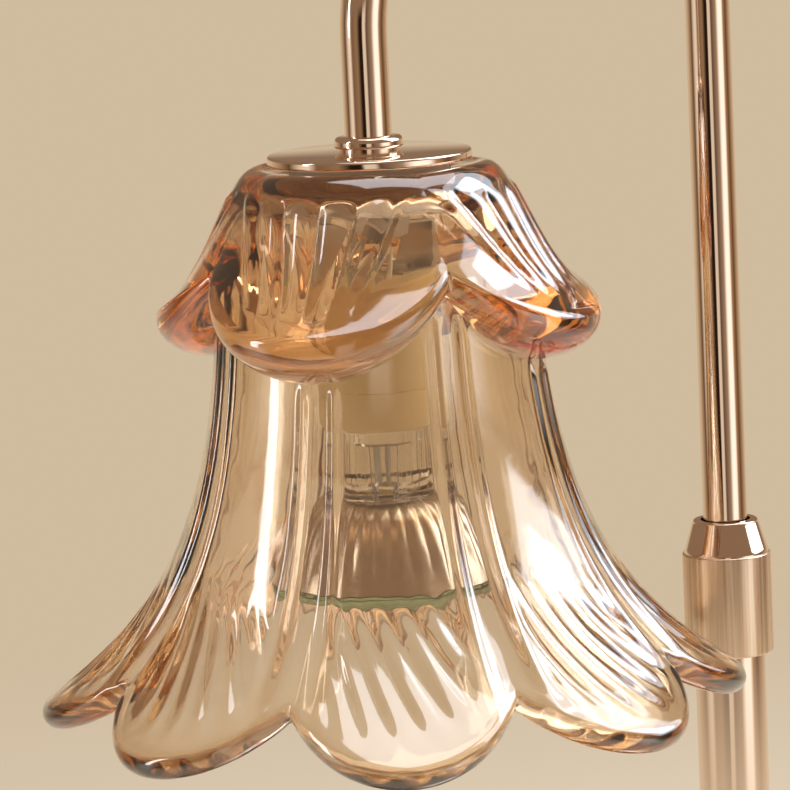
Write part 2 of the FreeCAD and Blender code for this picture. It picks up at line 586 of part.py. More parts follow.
def locked_slot(body, name, level, width, depth, turn):
    # a round-ended slot on the pin circle, open from the locked place to the entry angle
    radius = value("pinSpacing") / 2
    half = value(width) / 2
    sweep = math.radians(value("twistAngle"))
    start = math.radians(value(turn))
    for side, middle in (("Front", -math.pi / 2), ("Back", math.pi / 2)):
        drawing = sketch(body, "%s%sOutline" % (name, side), "XY_Plane", level)
        low = middle - sweep
        high = middle - start
        centre = Vector(0, 0, 0)
        up = Vector(0, 0, 1)
        if start:
            circle_at = Vector(radius * math.cos(low), radius * math.sin(low), 0)
            drawing.addGeometry(Part.Circle(circle_at, up, half), False)
        else:
            outer = Part.ArcOfCircle(Part.Circle(centre, up, radius + half), low, high)
            inner = Part.ArcOfCircle(Part.Circle(centre, up, radius - half), low, high)
            first = Part.Circle(Vector(radius * math.cos(low), radius * math.sin(low), 0), up, half)
            last = Part.Circle(Vector(radius * math.cos(high), radius * math.sin(high), 0), up, half)
            drawing.addGeometry(outer, False)
            drawing.addGeometry(Part.ArcOfCircle(last, high, high + math.pi), False)
            drawing.addGeometry(inner, False)
            drawing.addGeometry(Part.ArcOfCircle(first, low - math.pi, low), False)
        cut(body, name + side, drawing, depth, upwards=True)


def make_leads():
    # two leads from the contacts, drawn together and up into the nipple
    wide = value("pinSpacing / 2")
    close = value("leadSpacing / 2")
    low = value(chamberTop)
    bend = value(holderTop + " + leadDrop")
    over = value(upperNut + " - lockNutThickness - bracketSheet - lockNutThickness - leadDrop")
    end = over + value("leadRise")
    wires("holder_leads", [[(0, side * wide, low), (0, side * wide, bend), (0, side * close, over),
                            (0, side * close, end)] for side in (-1, 1)], "leadDiameter")


# ---- bulb ----

bowlRings = 5


def make_bulb():
    glass = new_part("bulb_glass", shadeX, "capHeight")
    block = "blockDiameter / 2"
    throat = "cementDiameter / 2"
    turned(glass, "Block", [
        ("0", cavity), (throat, cavity), (throat, bowlTop), ("neckRadius", bowlTop),
        ("neckRadius", "%s + neckHeight / 2" % bowlTop), ("neckGroove", "%s + neckHeight * 0.6" % bowlTop),
        ("neckGroove", blockFoot), (block, "%s + neckHeight / 4" % blockFoot), (block, blockTop),
        ("0", blockTop)])
    outside = []
    inside = []
    for share in steps(bowlRings):
        height = "%s - bowlHeight * %s" % (bowlTop, share ** 2)
        outside.append(("neckRadius + (bulbDiameter / 2 - neckRadius) * %s" % share, height))
        inside.append(("%s + (bulbDiameter / 2 - bowlWall - %s) * %s" % (throat, throat, share), height))
    turned(glass, "Bowl", outside + inside[::-1])
    for side, sign in (("Front", "0 - "), ("Back", "")):
        hole = circle(sketch(glass, "PinHole%sOutline" % side, "XY_Plane", blockTop),
                      "pinDiameter", "0", sign + "pinSpacing / 2")
        cut(glass, "PinHole" + side, hole, "pinRoot")

    lens = new_part("bulb_lens", shadeX, "capHeight")
    foot = "%s - lensThickness" % bowlFoot
    edge = "bulbDiameter / 2"
    turned(lens, "Disc", [("0", foot), (edge, foot), (edge, bowlFoot), ("0", bowlFoot)])
    chamfered(lens, "Edge", "lensEdge", [(edge, foot)])

    pins = new_part("bulb_pins", shadeX, "capHeight")
    for side, sign in (("Front", "0 - "), ("Back", "")):
        y = sign + "pinSpacing / 2"
        shank = circle(sketch(pins, "Shank%sOutline" % side, "XY_Plane", blockTop + " - pinRoot"),
                       "pinDiameter", "0", y)
        padded(pins, "Shank" + side, shank, "pinRoot + pinLength - pinHeadHeight / 2")
        head = circle(sketch(pins, "Head%sOutline" % side, "XY_Plane",
                             blockTop + " + pinLength - pinHeadHeight"), "pinHead", "0", y)
        padded(pins, "Head" + side, head, "pinHeadHeight")

    cement = new_part("bulb_cement", shadeX, "capHeight")
    turned(cement, "Fill", [("0", cementFoot), (throat, cementFoot), (throat, cavity), ("0", cavity)])

    capsule = new_part("bulb_capsule", shadeX, "capHeight")
    edge = "capsuleDiameter / 2"
    hollow = "(capsuleDiameter / 2 - capsuleWall)"
    foot = "%s - capsuleLength" % cementFoot
    turned(capsule, "Tube", [
        ("0", foot), (edge + " / 2", foot), (edge, foot + " + capsuleDiameter / 3"), (edge, cementFoot),
        ("0", cementFoot), ("0", pinchTop), (hollow, pinchTop),
        (hollow, foot + " + capsuleDiameter / 3 + capsuleWall / 2"),
        (hollow + " / 2", foot + " + capsuleWall"), ("0", foot + " + capsuleWall")])

    spread = value("filamentSpread / 2")
    top = value(pinchTop)
    low = top - value("filamentRise")
    wires("bulb_filament", [[(-spread, 0, top), (-spread, 0, low), (spread, 0, low), (spread, 0, top)]],
          "filamentDiameter")


# ---- glass shade ----

petals = 8
petalHalf = 180 / petals


def spline_through(points):
    # even parameters, so that neighbouring patches share their edges exactly
    curve = Part.BSplineCurve()
    curve.interpolate(Points=points, Parameters=[float(number) for number in range(len(points))])
    return curve


def patch(grid):
    # smooth surface through a grid of points
    rows = [spline_through(row) for row in grid]
    columns = [spline_through(list(poles)) for poles in zip(*(row.getPoles() for row in rows))]
    across = columns[0]
    along = rows[0]
    surface = Part.BSplineSurface()
    surface.buildFromPolesMultsKnots(
        [list(poles) for poles in zip(*(column.getPoles() for column in columns))],
        across.getMultiplicities(), along.getMultiplicities(), across.getKnots(), along.getKnots(),
        False, False, across.Degree, along.Degree)
    return surface.toShape()


def bezier(points, count):
    # count points along a cubic curve, each a radius and a height
    spots = []
    for number in range(count):
        part = number / (count - 1)
        shares = ((1 - part) ** 3, 3 * part * (1 - part) ** 2, 3 * part ** 2 * (1 - part), part ** 3)
        spots.append(tuple(sum(share * spot[axis] for share, spot in zip(shares, points))
                           for axis in (0, 1)))
    return spots


def mixed(low, high, share):
    # control points between those of two profiles
    return [tuple(a + (b - a) * share for a, b in zip(*pair)) for pair in zip(low, high)]


def make_shade():
    top = value(glassTop)
    under = value(glassUnder)
    lip = value("shadeLip")
    wall = value("shadeWall")
    flare = value("bellFlare")
    cup = value("petalCup")
    rib = value("ribHeight")
    rib_at = value("ribAngle")
    bell_radius = value("bellTopDiameter / 2")
    bell_top = value("0 - discThickness - gasketThickness - bellTopDepth")
    bell_low = top - value("shadeHeight")
    growth = math.exp(flare) - 1
    outer = value("shadeDiameter / 2")
    lean = math.atan2(bell_top - bell_low, (outer - bell_radius) * flare * (growth + 1) / growth)
    edge_radius = outer - lip / 2 * (1 - math.sin(lean))
    edge_low = bell_low + lip / 2 * (1 + math.cos(lean))
    drop = bell_top - edge_low
    notch = value("petalNotch") / drop

    def tier(name):
        # control points from the neck over the top of the upper tier, and on round its roll to the bell
        tip = value(name + "TipDiameter / 2")
        tip_depth = value(name + "TipDepth")
        edge = (tip, top - tip_depth)
        over = [(value("neckTop / 2"), top),
                (value(name + "Crown") * tip, top + value(name + "Rise")),
                (value(name + "Shoulder") * tip, top - value(name + "Sag") * tip_depth), edge]
        below = [edge, (tip + value(name + "Roll"), edge[1] - value(name + "RollDepth")),
                 (tip - value(name + "Tuck"), top - value(name + "UnderDepth"))]
        return over, below

    leaf_top, leaf_low = tier("leaf")
    valley_top, valley_low = tier("valley")

    def bell(part):
        # place on the bell, and the unit step along it towards the rim
        spot = (bell_radius + (edge_radius - bell_radius) * (math.exp(flare * part) - 1) / growth,
                bell_top - drop * part)
        slope = (edge_radius - bell_radius) * flare * math.exp(flare * part) / growth
        length = math.hypot(slope, drop)
        return spot, (slope / length, -drop / length)

    def leaf(angle):
        return 1 - abs((angle + petalHalf) / (2 * petalHalf)) ** value("leafSpread")

    def seam(angle):
        # share of the bell at which the leaf meets it
        depth = value("valleyUnderDepth") + value("leafUnderDepth - valleyUnderDepth") * leaf(angle)
        return (bell_top - top + depth) / drop

    def rim(angle):
        return 1 - notch * (angle / petalHalf) ** 2

    def skin(part, share, angle, depth):
        # a point this deep in the bell, with the petal's cupped sides
        (radius, height), (across, down) = bell(part)
        depth += cup * (angle / petalHalf) ** 2 * share ** 2
        return radius + down * depth, height - across * depth

    def rib_rise(angle, share):
        place = abs(angle)
        ridge = (place / rib_at) ** 6 if place < rib_at else (petalHalf - place) / (petalHalf - rib_at)
        return rib * ridge * (1 - (1 - share) ** 6)

    def bell_outside(angle):
        start = seam(angle)
        end = rim(angle)
        return [skin(start + (end - start) * share, share, angle, -rib_rise(angle, share))
                for share in steps(6)]

    def bell_inside(angle):
        return [skin(rim(angle) * share, share, angle, wall + (lip - wall) * share ** 6)
                for share in reversed(steps(5))]

    def rim_round(angle):
        start = bell_outside(angle)[-1]
        end = bell_inside(angle)[0]
        forward = bell(rim(angle))[1]
        spots = [start]
        for share in steps(4)[1:-1]:
            swing = math.pi * share
            spots.append(tuple(
                (first + last) / 2 + (first - last) / 2 * math.cos(swing)
                + step * lip / 2 * math.sin(swing)
                for first, last, step in zip(start, end, forward)))
        return spots + [end]

    def leaf_outside(angle):
        return bezier(mixed(valley_top, leaf_top, leaf(angle)), 5)

    def leaf_under(angle):
        foot = bell_outside(angle)[0]
        return bezier(mixed(valley_low, leaf_low, leaf(angle)) + [foot], 4)

    seat = value("retainerDiameter / 2 + 1")
    bore = value("neckHole / 2 - 2")

    def shoulder(angle):
        start = bell_inside(angle)[-1]
        across, down = bell(0)[1]
        rise = (under - start[1]) / 2
        return bezier([start, (start[0] - across * rise, start[1] - down * rise),
                       (start[0] - 1, under), (seat, under)], 4)

    def straight(first, last):
        return lambda angle: [first, last]

    outlines = (
        leaf_outside, leaf_under, bell_outside, rim_round, bell_inside, shoulder,
        straight((seat, under), (bore, under)), straight((bore, under), (bore, top)),
        straight((bore, top), (value("neckTop / 2"), top)))
    flutes = [-petalHalf, -rib_at, -rib_at / 2, 0, rib_at / 2, rib_at, petalHalf]

    front = value("shadeTurn")
    faces = []
    for turn in range(petals):
        for flute in zip(flutes, flutes[1:]):
            for curve in outlines:
                grid = []
                for angle in flute:
                    heading = front + 2 * petalHalf * turn + (angle if turn % 2 == 0 else -angle)
                    facing = Rotation(Vector(0, 0, 1), heading)
                    grid.append([facing.multVec(Vector(radius, 0, height)) for radius, height in curve(angle)])
                faces.append(patch(grid))
    skin_shape = Part.makeCompound(faces)
    skin_shape.sewShape(0.001)
    solid = Part.makeSolid(skin_shape.Shells[0])
    if solid.Volume < 0:
        solid.reverse()
    hole = Part.makeCylinder(value("neckHole / 2"), top - under + 2, Vector(0, 0, under - 1))
    shade = doc.addObject("Part::Feature", "glass_shade")
    shade.Label = "glass_shade"
    shade.Shape = solid.cut(hole)
    place(shade, shadeX, "capHeight")


make_base()
make_post()
make_lock()
make_arm()
make_top_fittings()
make_holder()
make_leads()
make_bulb()
make_shade()
doc.recompute()

for item in doc.Objects:
    if "Invalid" in item.State or "Error" in item.State:
        raise RuntimeError("%s failed: %s" % (item.Name, item.getStatusString()))
for part in parts:
    if part.Shape.isNull() or not part.Shape.isValid() or not part.Shape.Solids:
        raise RuntimeError(part.Label + " has no sound solid")
os.makedirs("parts", exist_ok=True)
for part in parts:
    part.Shape.exportStep("parts/%s.step" % part.Label)
    print("%-20s %d solids %10.1f mm3" % (part.Label, len(part.Shape.Solids), part.Shape.Volume))
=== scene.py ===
import math

import bmesh
import bpy
from mathutils import Matrix, Vector


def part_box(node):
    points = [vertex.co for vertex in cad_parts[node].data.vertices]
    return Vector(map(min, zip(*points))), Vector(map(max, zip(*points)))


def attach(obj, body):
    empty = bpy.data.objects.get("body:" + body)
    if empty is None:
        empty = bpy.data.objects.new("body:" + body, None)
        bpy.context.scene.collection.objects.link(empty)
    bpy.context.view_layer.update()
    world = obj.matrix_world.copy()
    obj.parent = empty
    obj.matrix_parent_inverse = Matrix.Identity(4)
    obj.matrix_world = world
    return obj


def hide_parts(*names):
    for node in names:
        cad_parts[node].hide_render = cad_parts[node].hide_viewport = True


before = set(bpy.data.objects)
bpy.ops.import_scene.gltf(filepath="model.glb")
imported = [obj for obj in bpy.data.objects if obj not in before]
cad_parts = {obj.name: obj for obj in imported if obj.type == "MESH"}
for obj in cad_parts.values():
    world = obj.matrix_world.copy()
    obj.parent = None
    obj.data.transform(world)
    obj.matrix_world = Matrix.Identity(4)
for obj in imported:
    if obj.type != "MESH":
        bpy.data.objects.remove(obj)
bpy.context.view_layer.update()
mm = 0.001

# places that the pieces share
capLow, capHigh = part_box("cap_disc")
postLow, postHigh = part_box("lower_tube")
shadeAxis = Vector(((capLow.x + capHigh.x) / 2, (capLow.y + capHigh.y) / 2, 0))
postAxis = Vector(((postLow.x + postHigh.x) / 2, (postLow.y + postHigh.y) / 2, 0))
capTop = capHigh.z


# ---- shader maths ----

class Signal:
    # a shader socket that takes part in Python expressions
    def __init__(self, tree, socket):
        self.tree = tree
        self.socket = socket

    def math(self, operation, first, second=None):
        node = self.tree.nodes.new("ShaderNodeMath")
        node.operation = operation
        for slot, item in zip(node.inputs, (first, second)):
            if isinstance(item, Signal):
                self.tree.links.new(item.socket, slot)
            elif item is not None:
                slot.default_value = item
        return Signal(self.tree, node.outputs[0])

    def __add__(self, other):
        return self.math("ADD", self, other)

    def __radd__(self, other):
        return self.math("ADD", other, self)

    def __sub__(self, other):
        return self.math("SUBTRACT", self, other)

    def __rsub__(self, other):
        return self.math("SUBTRACT", other, self)

    def __mul__(self, other):
        return self.math("MULTIPLY", self, other)

    def __rmul__(self, other):
        return self.math("MULTIPLY", other, self)

    def __pow__(self, other):
        return self.math("POWER", self, other)

    def clip(self):
        return self.math("MINIMUM", self.math("MAXIMUM", self, 0.0), 1.0)

    def angleTo(self, other):
        return self.math("ARCTAN2", self, other)


class ShaderTree:
    # a node tree with short ways to add nodes
    def __init__(self, tree):
        self.tree = tree

    def node(self, kind, settings=None, inputs=None, output=0):
        node = self.tree.nodes.new("ShaderNode" + kind)
        for key, value in (settings or {}).items():
            if key == "stops":
                ramp = node.color_ramp.elements
                for place, colour in value[1:-1]:
                    ramp.new(place)
                for stop, (place, colour) in zip(ramp, value):
                    stop.position = place
                    stop.color = (*colour, 1)
            else:
                setattr(node, key, value)
        for key, value in (inputs or {}).items():
            if isinstance(value, Signal):
                self.tree.links.new(value.socket, node.inputs[key])
            else:
                node.inputs[key].default_value = value
        return Signal(self.tree, node.outputs[output])

    def place(self, centre=(0, 0, 0)):
        # object coordinates in metres, measured from the centre
        coordinates = self.node("TexCoord", output="Object")
        return self.node("Mapping", inputs={"Vector": coordinates,
                                            "Location": tuple(-value for value in centre)})

    def along(self, spot, axis):
        # how far a spot lies along an axis
        return self.node("VectorMath", {"operation": "DOT_PRODUCT"}, {0: spot, 1: tuple(axis)},
                         output="Value")

    def noise(self, spot, scale, detail=2.0, roughness=0.5):
        return self.node("TexNoise", inputs={"Vector": spot, "Scale": scale, "Detail": detail,
                                             "Roughness": roughness})

    def mixed(self, factor, first, second):
        # a colour between two others, each a signal or plain numbers
        first, second = (item if isinstance(item, Signal) else (*item, 1) for item in (first, second))
        return self.node("Mix", {"data_type": "RGBA"}, {0: factor, 6: first, 7: second}, output=2)


class Finish(ShaderTree):
    # a material with its Principled shader and the nodes that feed it
    def __init__(self, name, colour=(0.8, 0.8, 0.8), **values):
        self.material = bpy.data.materials.new(name)
        self.material.use_nodes = True
        super().__init__(self.material.node_tree)
        self.shader = self.tree.nodes["Principled BSDF"]
        self.output = self.tree.nodes["Material Output"]
        self.shader.inputs["Base Color"].default_value = (*colour, 1)
        for socket, value in values.items():
            self.shader.inputs[socket.replace("_", " ")].default_value = value

    def feed(self, socket, signal):
        self.tree.links.new(signal.socket, self.shader.inputs[socket])
        return self

    def bump(self, height, distance, strength=1.0):
        self.feed("Normal", self.node("Bump", inputs={"Height": height, "Distance": distance,
                                                      "Strength": strength}))
        return self

    def giveWay(self, factor, other):
        # another shader shows as far as the factor says
        own = Signal(self.tree, self.shader.outputs[0])
        mix = self.node("MixShader", inputs={0: factor, 1: own, 2: other})
        self.tree.links.new(mix.socket, self.output.inputs["Surface"])


# ---- finishes ----

def roseMetal():
    look = {"colour": (0.93, 0.76, 0.62), "roughness": 0.05, "smear": 0.05}
    finish = Finish("polishedRoseMetal", look["colour"], Metallic=1.0)
    smears = finish.noise(finish.place(), 45, 3)
    finish.feed("Roughness", look["roughness"] + look["smear"] * smears ** 2)
    return finish.material


def satinSleeveMetal(axis):
    look = {"bright": (0.96, 0.80, 0.62), "deep": (0.70, 0.49, 0.32), "streaks": 850, "depth": 0.00005}
    finish = Finish("turnedSatinMetal", Metallic=1.0)
    spot = finish.node("Mapping", inputs={"Vector": finish.place(axis), "Scale": (1, 1, 0.015)})
    streaks = finish.noise(spot, look["streaks"], 3, 0.6)
    finish.feed("Base Color", finish.mixed(((streaks - 0.35) * 3.3).clip(), look["deep"], look["bright"]))
    finish.feed("Roughness", 0.24 + 0.2 * streaks)
    return finish.bump(streaks, look["depth"]).material


def plainMetal(name, colour, roughness, grain=0.12):
    finish = Finish(name, colour, Metallic=1.0)
    finish.feed("Roughness", roughness + grain * finish.noise(finish.place(), 420, 3))
    return finish.material


def mouldedPlastic(name, colour, roughness, depth=0.00002):
    finish = Finish(name, colour, Specular_IOR_Level=0.4)
    texture = finish.noise(finish.place(), 900, 3)
    finish.feed("Roughness", roughness + 0.15 * texture)
    return finish.bump(texture, depth).material


def castIron():
    finish = Finish("blackCastIron", (0.05, 0.05, 0.052), Metallic=0.6)
    texture = finish.noise(finish.place(), 350, 5)
    finish.feed("Roughness", 0.5 + 0.3 * texture)
    return finish.bump(texture, 0.0003).material


def ivoryCeramic():
    look = {"pale": (0.90, 0.78, 0.50), "deep": (0.80, 0.65, 0.36), "depth": 0.00005}
    finish = Finish("ivoryCeramic", Specular_IOR_Level=0.45)
    spot = finish.place()
    speckle = finish.noise(spot, 700, 4)
    finish.feed("Base Color", finish.mixed(finish.noise(spot, 60, 3), look["pale"], look["deep"]))
    finish.feed("Roughness", 0.5 + 0.2 * speckle)
    return finish.bump(speckle, look["depth"]).material


def clearFor(finish, share):
    # lamps light what stands behind the glass
    shadow = finish.node("LightPath", output="Is Shadow Ray")
    finish.giveWay(shadow * share, finish.node("BsdfTransparent"))


def absorb(finish, colour, density):
    volume = finish.node("VolumeAbsorption", inputs={"Color": (*colour, 1), "Density": density})
    finish.tree.links.new(volume.socket, finish.output.inputs["Volume"])


def amberGlass():
    look = {"tint": (1.0, 0.98, 0.95), "deep": (0.968, 0.68, 0.25), "density": 88, "ior": 1.5,
            "lustre": 1.0, "lustreIor": 2.1}
    finish = Finish("amberPressedGlass", look["tint"], Transmission_Weight=1.0, IOR=look["ior"],
                    Coat_Weight=look["lustre"], Coat_IOR=look["lustreIor"], Coat_Roughness=0.08)
    spot = finish.place()
    finish.feed("Roughness", 0.01 + 0.03 * finish.noise(spot, 120, 2))
    finish.bump(finish.noise(spot, 70, 2), 0.0003)
    absorb(finish, look["deep"], look["density"])
    clearFor(finish, 0.85)
    return finish.material


def clearGlass(name, tint, colour, density):
    finish = Finish(name, tint, Transmission_Weight=1.0, IOR=1.5)
    finish.feed("Roughness", 0.01 + 0.02 * finish.noise(finish.place(), 300, 2))
    absorb(finish, colour, density)
    clearFor(finish, 0.9)
    return finish.material


def reflectorCoat():
    finish = Finish("mirroredReflector", (0.80, 0.74, 0.66), Metallic=1.0)
    finish.feed("Roughness", 0.16 + 0.14 * finish.noise(finish.place(), 500, 2))
    return finish.material


print("finishes")
rose = roseMetal()
satin = satinSleeveMetal(tuple(postAxis))
zinc = plainMetal("zincSteel", (0.62, 0.62, 0.64), 0.3)
brassLook = plainMetal("brass", (0.80, 0.60, 0.28), 0.28)
paint = mouldedPlastic("blackPaint", (0.02, 0.02, 0.02), 0.35)
blackRubber = mouldedPlastic("blackRubber", (0.03, 0.03, 0.03), 0.6, 0.0001)
clearRubber = mouldedPlastic("milkyRubber", (0.72, 0.68, 0.60), 0.45)
nylon = mouldedPlastic("whiteNylon", (0.82, 0.80, 0.75), 0.4)
sleeving = mouldedPlastic("whiteSleeving", (0.85, 0.83, 0.78), 0.55)
iron = castIron()
ceramic = ivoryCeramic()
amber = amberGlass()
lensGlass = clearGlass("greenishLensGlass", (0.98, 1.0, 0.98), (0.62, 0.88, 0.74), 32)
bulbClear = clearGlass("clearBulbGlass", (1.0, 0.99, 0.97), (0.9, 0.92, 0.85), 20)
mirrorCoat = reflectorCoat()

cadFinishes = {
    "base_weight": iron, "base_plate": paint, "foot_ring": blackRubber, "plate_screws": zinc,
    "cord_inlet": blackRubber, "post_plug": zinc, "post_washer": zinc, "post_nut": zinc,
    "lock_seat": zinc, "collet": nylon, "guide_bush": nylon, "bush_clips": zinc,
    "shade_nipple": brassLook, "shade_gasket_upper": clearRubber, "shade_gasket_lower": clearRubber,
    "shade_retainer": zinc, "nipple_nuts": zinc, "holder_bracket": zinc, "holder_screws": zinc,
    "holder_contacts": brassLook, "holder_leads": sleeving, "bulb_pins": zinc, "bulb_cement": ceramic,
    "bulb_capsule": bulbClear, "bulb_filament": zinc, "base_cover": rose, "lower_tube": rose,
    "post_flange": rose, "lock_nose": rose, "lock_sleeve": satin, "arm_tube": rose,
    "tube_ferrule": rose, "cap_disc": rose, "glass_shade": amber, "holder_top": ceramic,
    "holder_skirt": ceramic, "bulb_glass": bulbClear, "bulb_lens": lensGlass,
}
for name, material in cadFinishes.items():
    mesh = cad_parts[name].data
    mesh.materials.clear()
    mesh.materials.append(material)


# ---- making pieces ----

def metres(sizes):
    return {name: size * mm for name, size in sizes.items()}


def turnedNode(name):
    # height of a turned node's foot and top, and its radius
    low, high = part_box(name)
    return low.z, high.z, (high.x - low.x) / 2


def addPiece(bm, name, body, material, stands=(), crease=40):
    # turns a bmesh into a piece that rides on a body and stands for these nodes
    bmesh.ops.recalc_face_normals(bm, faces=bm.faces)
    if bm.calc_volume(signed=True) < 0:
        bmesh.ops.reverse_faces(bm, faces=bm.faces)
    mesh = bpy.data.meshes.new(name)
    bm.to_mesh(mesh)
    bm.free()
    mesh.shade_smooth()
    mesh.set_sharp_from_angle(angle=math.radians(crease))
    mesh.materials.append(material)
    piece = bpy.data.objects.new(name, mesh)
    bpy.context.scene.collection.objects.link(piece)
    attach(piece, body)
    if stands:
        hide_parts(*stands)
    return piece


def outlineOf(bm, spots, closed=True):
    # wire outline of (radius, height) spots in the XZ plane
    verts = [bm.verts.new((radius, 0, height)) for radius, height in spots]
    ends = verts[1:] + verts[:1] if closed else verts[1:]
    return verts, [bm.edges.new(pair) for pair in zip(verts, ends)]


def spunPiece(spots, axis, steps=96, closed=True):
    # a full turn of the outline about a vertical axis
    bm = bmesh.new()
    verts, edges = outlineOf(bm, spots, closed)
    bmesh.ops.spin(bm, geom=verts + edges, cent=(0, 0, 0), axis=(0, 0, 1), angle=math.tau,
                   steps=steps, use_merge=True)
    bmesh.ops.remove_doubles(bm, verts=bm.verts, dist=1e-7)
    bmesh.ops.translate(bm, verts=bm.verts, vec=(axis.x, axis.y, 0))
    return bm


def roundedCorner(radius, height, size, upwards=True, count=6):
    # spots along a quarter round, from the side face to the end face
    up = 1 if upwards else -1
    turns = [math.pi / 2 * step / count for step in range(count + 1)]
    return [(radius - size * (1 - math.cos(turn)), height - up * size * (1 - math.sin(turn)))
            for turn in turns]


def smoothStep(low, high, value):
    share = min(max((value - low) / (high - low), 0), 1)
    return share * share * (3 - 2 * share)


def bell(value, middle, width):
    return math.exp(-((value - middle) / width) ** 2)


# ---- arm, post and base ----

def makeArm():
    look = {"outer": 5, "inner": 4, "start": 1, "sides": 48, "bends": 56}
    low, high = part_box("arm_tube")
    reach = postAxis.x - shadeAxis.x
    bendTop = high.z - reach / 2 - look["outer"] * mm  # where the straight legs end
    bm = bmesh.new()
    foot = Matrix.Translation((shadeAxis.x, shadeAxis.y, capTop + look["start"] * mm))
    for radius in (look["outer"], look["inner"]):
        bmesh.ops.create_circle(bm, segments=look["sides"], radius=radius * mm, matrix=foot)
    start = bm.edges[:]
    loop = start
    # up the shade's leg, round the bend and down the post's leg
    for run in (bendTop - foot.translation.z, None, low.z - bendTop):
        if run is None:
            made = bmesh.ops.spin(bm, geom=loop, cent=(shadeAxis.x + reach / 2, shadeAxis.y, bendTop),
                                  axis=(0, 1, 0), angle=math.pi, steps=look["bends"])["geom_last"]
        else:
            made = bmesh.ops.extrude_edge_only(bm, edges=loop)["geom"]
            moved = [item for item in made if isinstance(item, bmesh.types.BMVert)]
            bmesh.ops.translate(bm, verts=moved, vec=(0, 0, run))
        loop = [item for item in made if isinstance(item, bmesh.types.BMEdge)]
    for ends in (start, loop):
        bmesh.ops.bridge_loops(bm, edges=ends)
    addPiece(bm, "armTube", "arm", rose, ["arm_tube"])


def makeTop():
    disc = metres({"edge": 0.55, "hole": 4})
    low, high, radius = turnedNode("cap_disc")
    spots = roundedCorner(radius, high, disc["edge"]) + [(disc["hole"], high), (disc["hole"], low)]
    spots += roundedCorner(radius, low, disc["edge"], upwards=False)[::-1]
    addPiece(spunPiece(spots, shadeAxis, 160), "capDisc", "arm", rose, ["cap_disc"])

    bead = metres({"round": 1.15, "seatRound": 0.45, "tube": 5, "hole": 4, "step": 1, "inset": 0.7})
    low, high, radius = turnedNode("tube_ferrule")
    step = low + bead["step"]
    foot = radius - bead["inset"]
    spots = roundedCorner(radius, high, bead["round"]) + [(bead["tube"], high), (bead["tube"], step)]
    spots += [(bead["hole"], step), (bead["hole"], low), (foot, low), (foot, step)]
    spots += roundedCorner(radius, step, bead["seatRound"], upwards=False)[::-1]
    addPiece(spunPiece(spots, shadeAxis, 96), "tubeBead", "arm", rose, ["tube_ferrule"])


def makePost():
    look = metres({"wall": 1, "flangeRound": 1.4})
    low, high, radius = turnedNode("lower_tube")
    inside = radius - look["wall"]
    spots = [(radius, low), (radius, high), (inside, high), (inside, low)]
    addPiece(spunPiece(spots, postAxis, 96), "lowerTube", "base", rose, ["lower_tube"])

    low, high, outer = turnedNode("post_flange")
    spots = roundedCorner(outer, high, look["flangeRound"]) + [(radius, high), (radius, low), (outer, low)]
    addPiece(spunPiece(spots, postAxis, 96), "postFlange", "base", rose, ["post_flange"])


def makeLock():
    sleeve = metres({"bore": 8.88, "lip": 8.3, "lipHeight": 2, "edge": 0.45})
    low, high, radius = turnedNode("lock_sleeve")
    bore = sleeve["bore"]
    lipTop = low + sleeve["lipHeight"]
    spots = roundedCorner(radius, high, sleeve["edge"]) + [(bore, high), (bore, lipTop)]
    spots += [(sleeve["lip"], lipTop), (sleeve["lip"], low)]
    spots += roundedCorner(radius, low, sleeve["edge"], upwards=False)[::-1]
    addPiece(spunPiece(spots, postAxis, 192), "lockSleeve", "lock_ring", satin,
             ["lock_sleeve"])

    nose = metres({"side": 0.5, "bevel": 0.25, "bevelTop": 0.9, "coneTop": 7.55, "coneDrop": 0.7,
                   "mouth": 7.4, "mouthRound": 0.5, "hole": 5.6, "holeDepth": 1.6, "seat": 7.7,
                   "seatTop": 2.5})
    start = high
    low, high, radius = turnedNode("lock_nose")
    spots = [(radius, start), (radius, start + nose["side"])]
    spots += [(radius - nose["bevel"], start + nose["bevelTop"]), (nose["coneTop"], high - nose["coneDrop"])]
    spots += roundedCorner(nose["mouth"], high, nose["mouthRound"])
    spots += [(nose["hole"], high), (nose["hole"], high - nose["holeDepth"])]
    spots += [(nose["seat"], start + nose["seatTop"]), (nose["seat"], low), (bore, low), (bore, start)]
    addPiece(spunPiece(spots, postAxis, 128), "lockNose", "lock_ring", rose, ["lock_nose"])


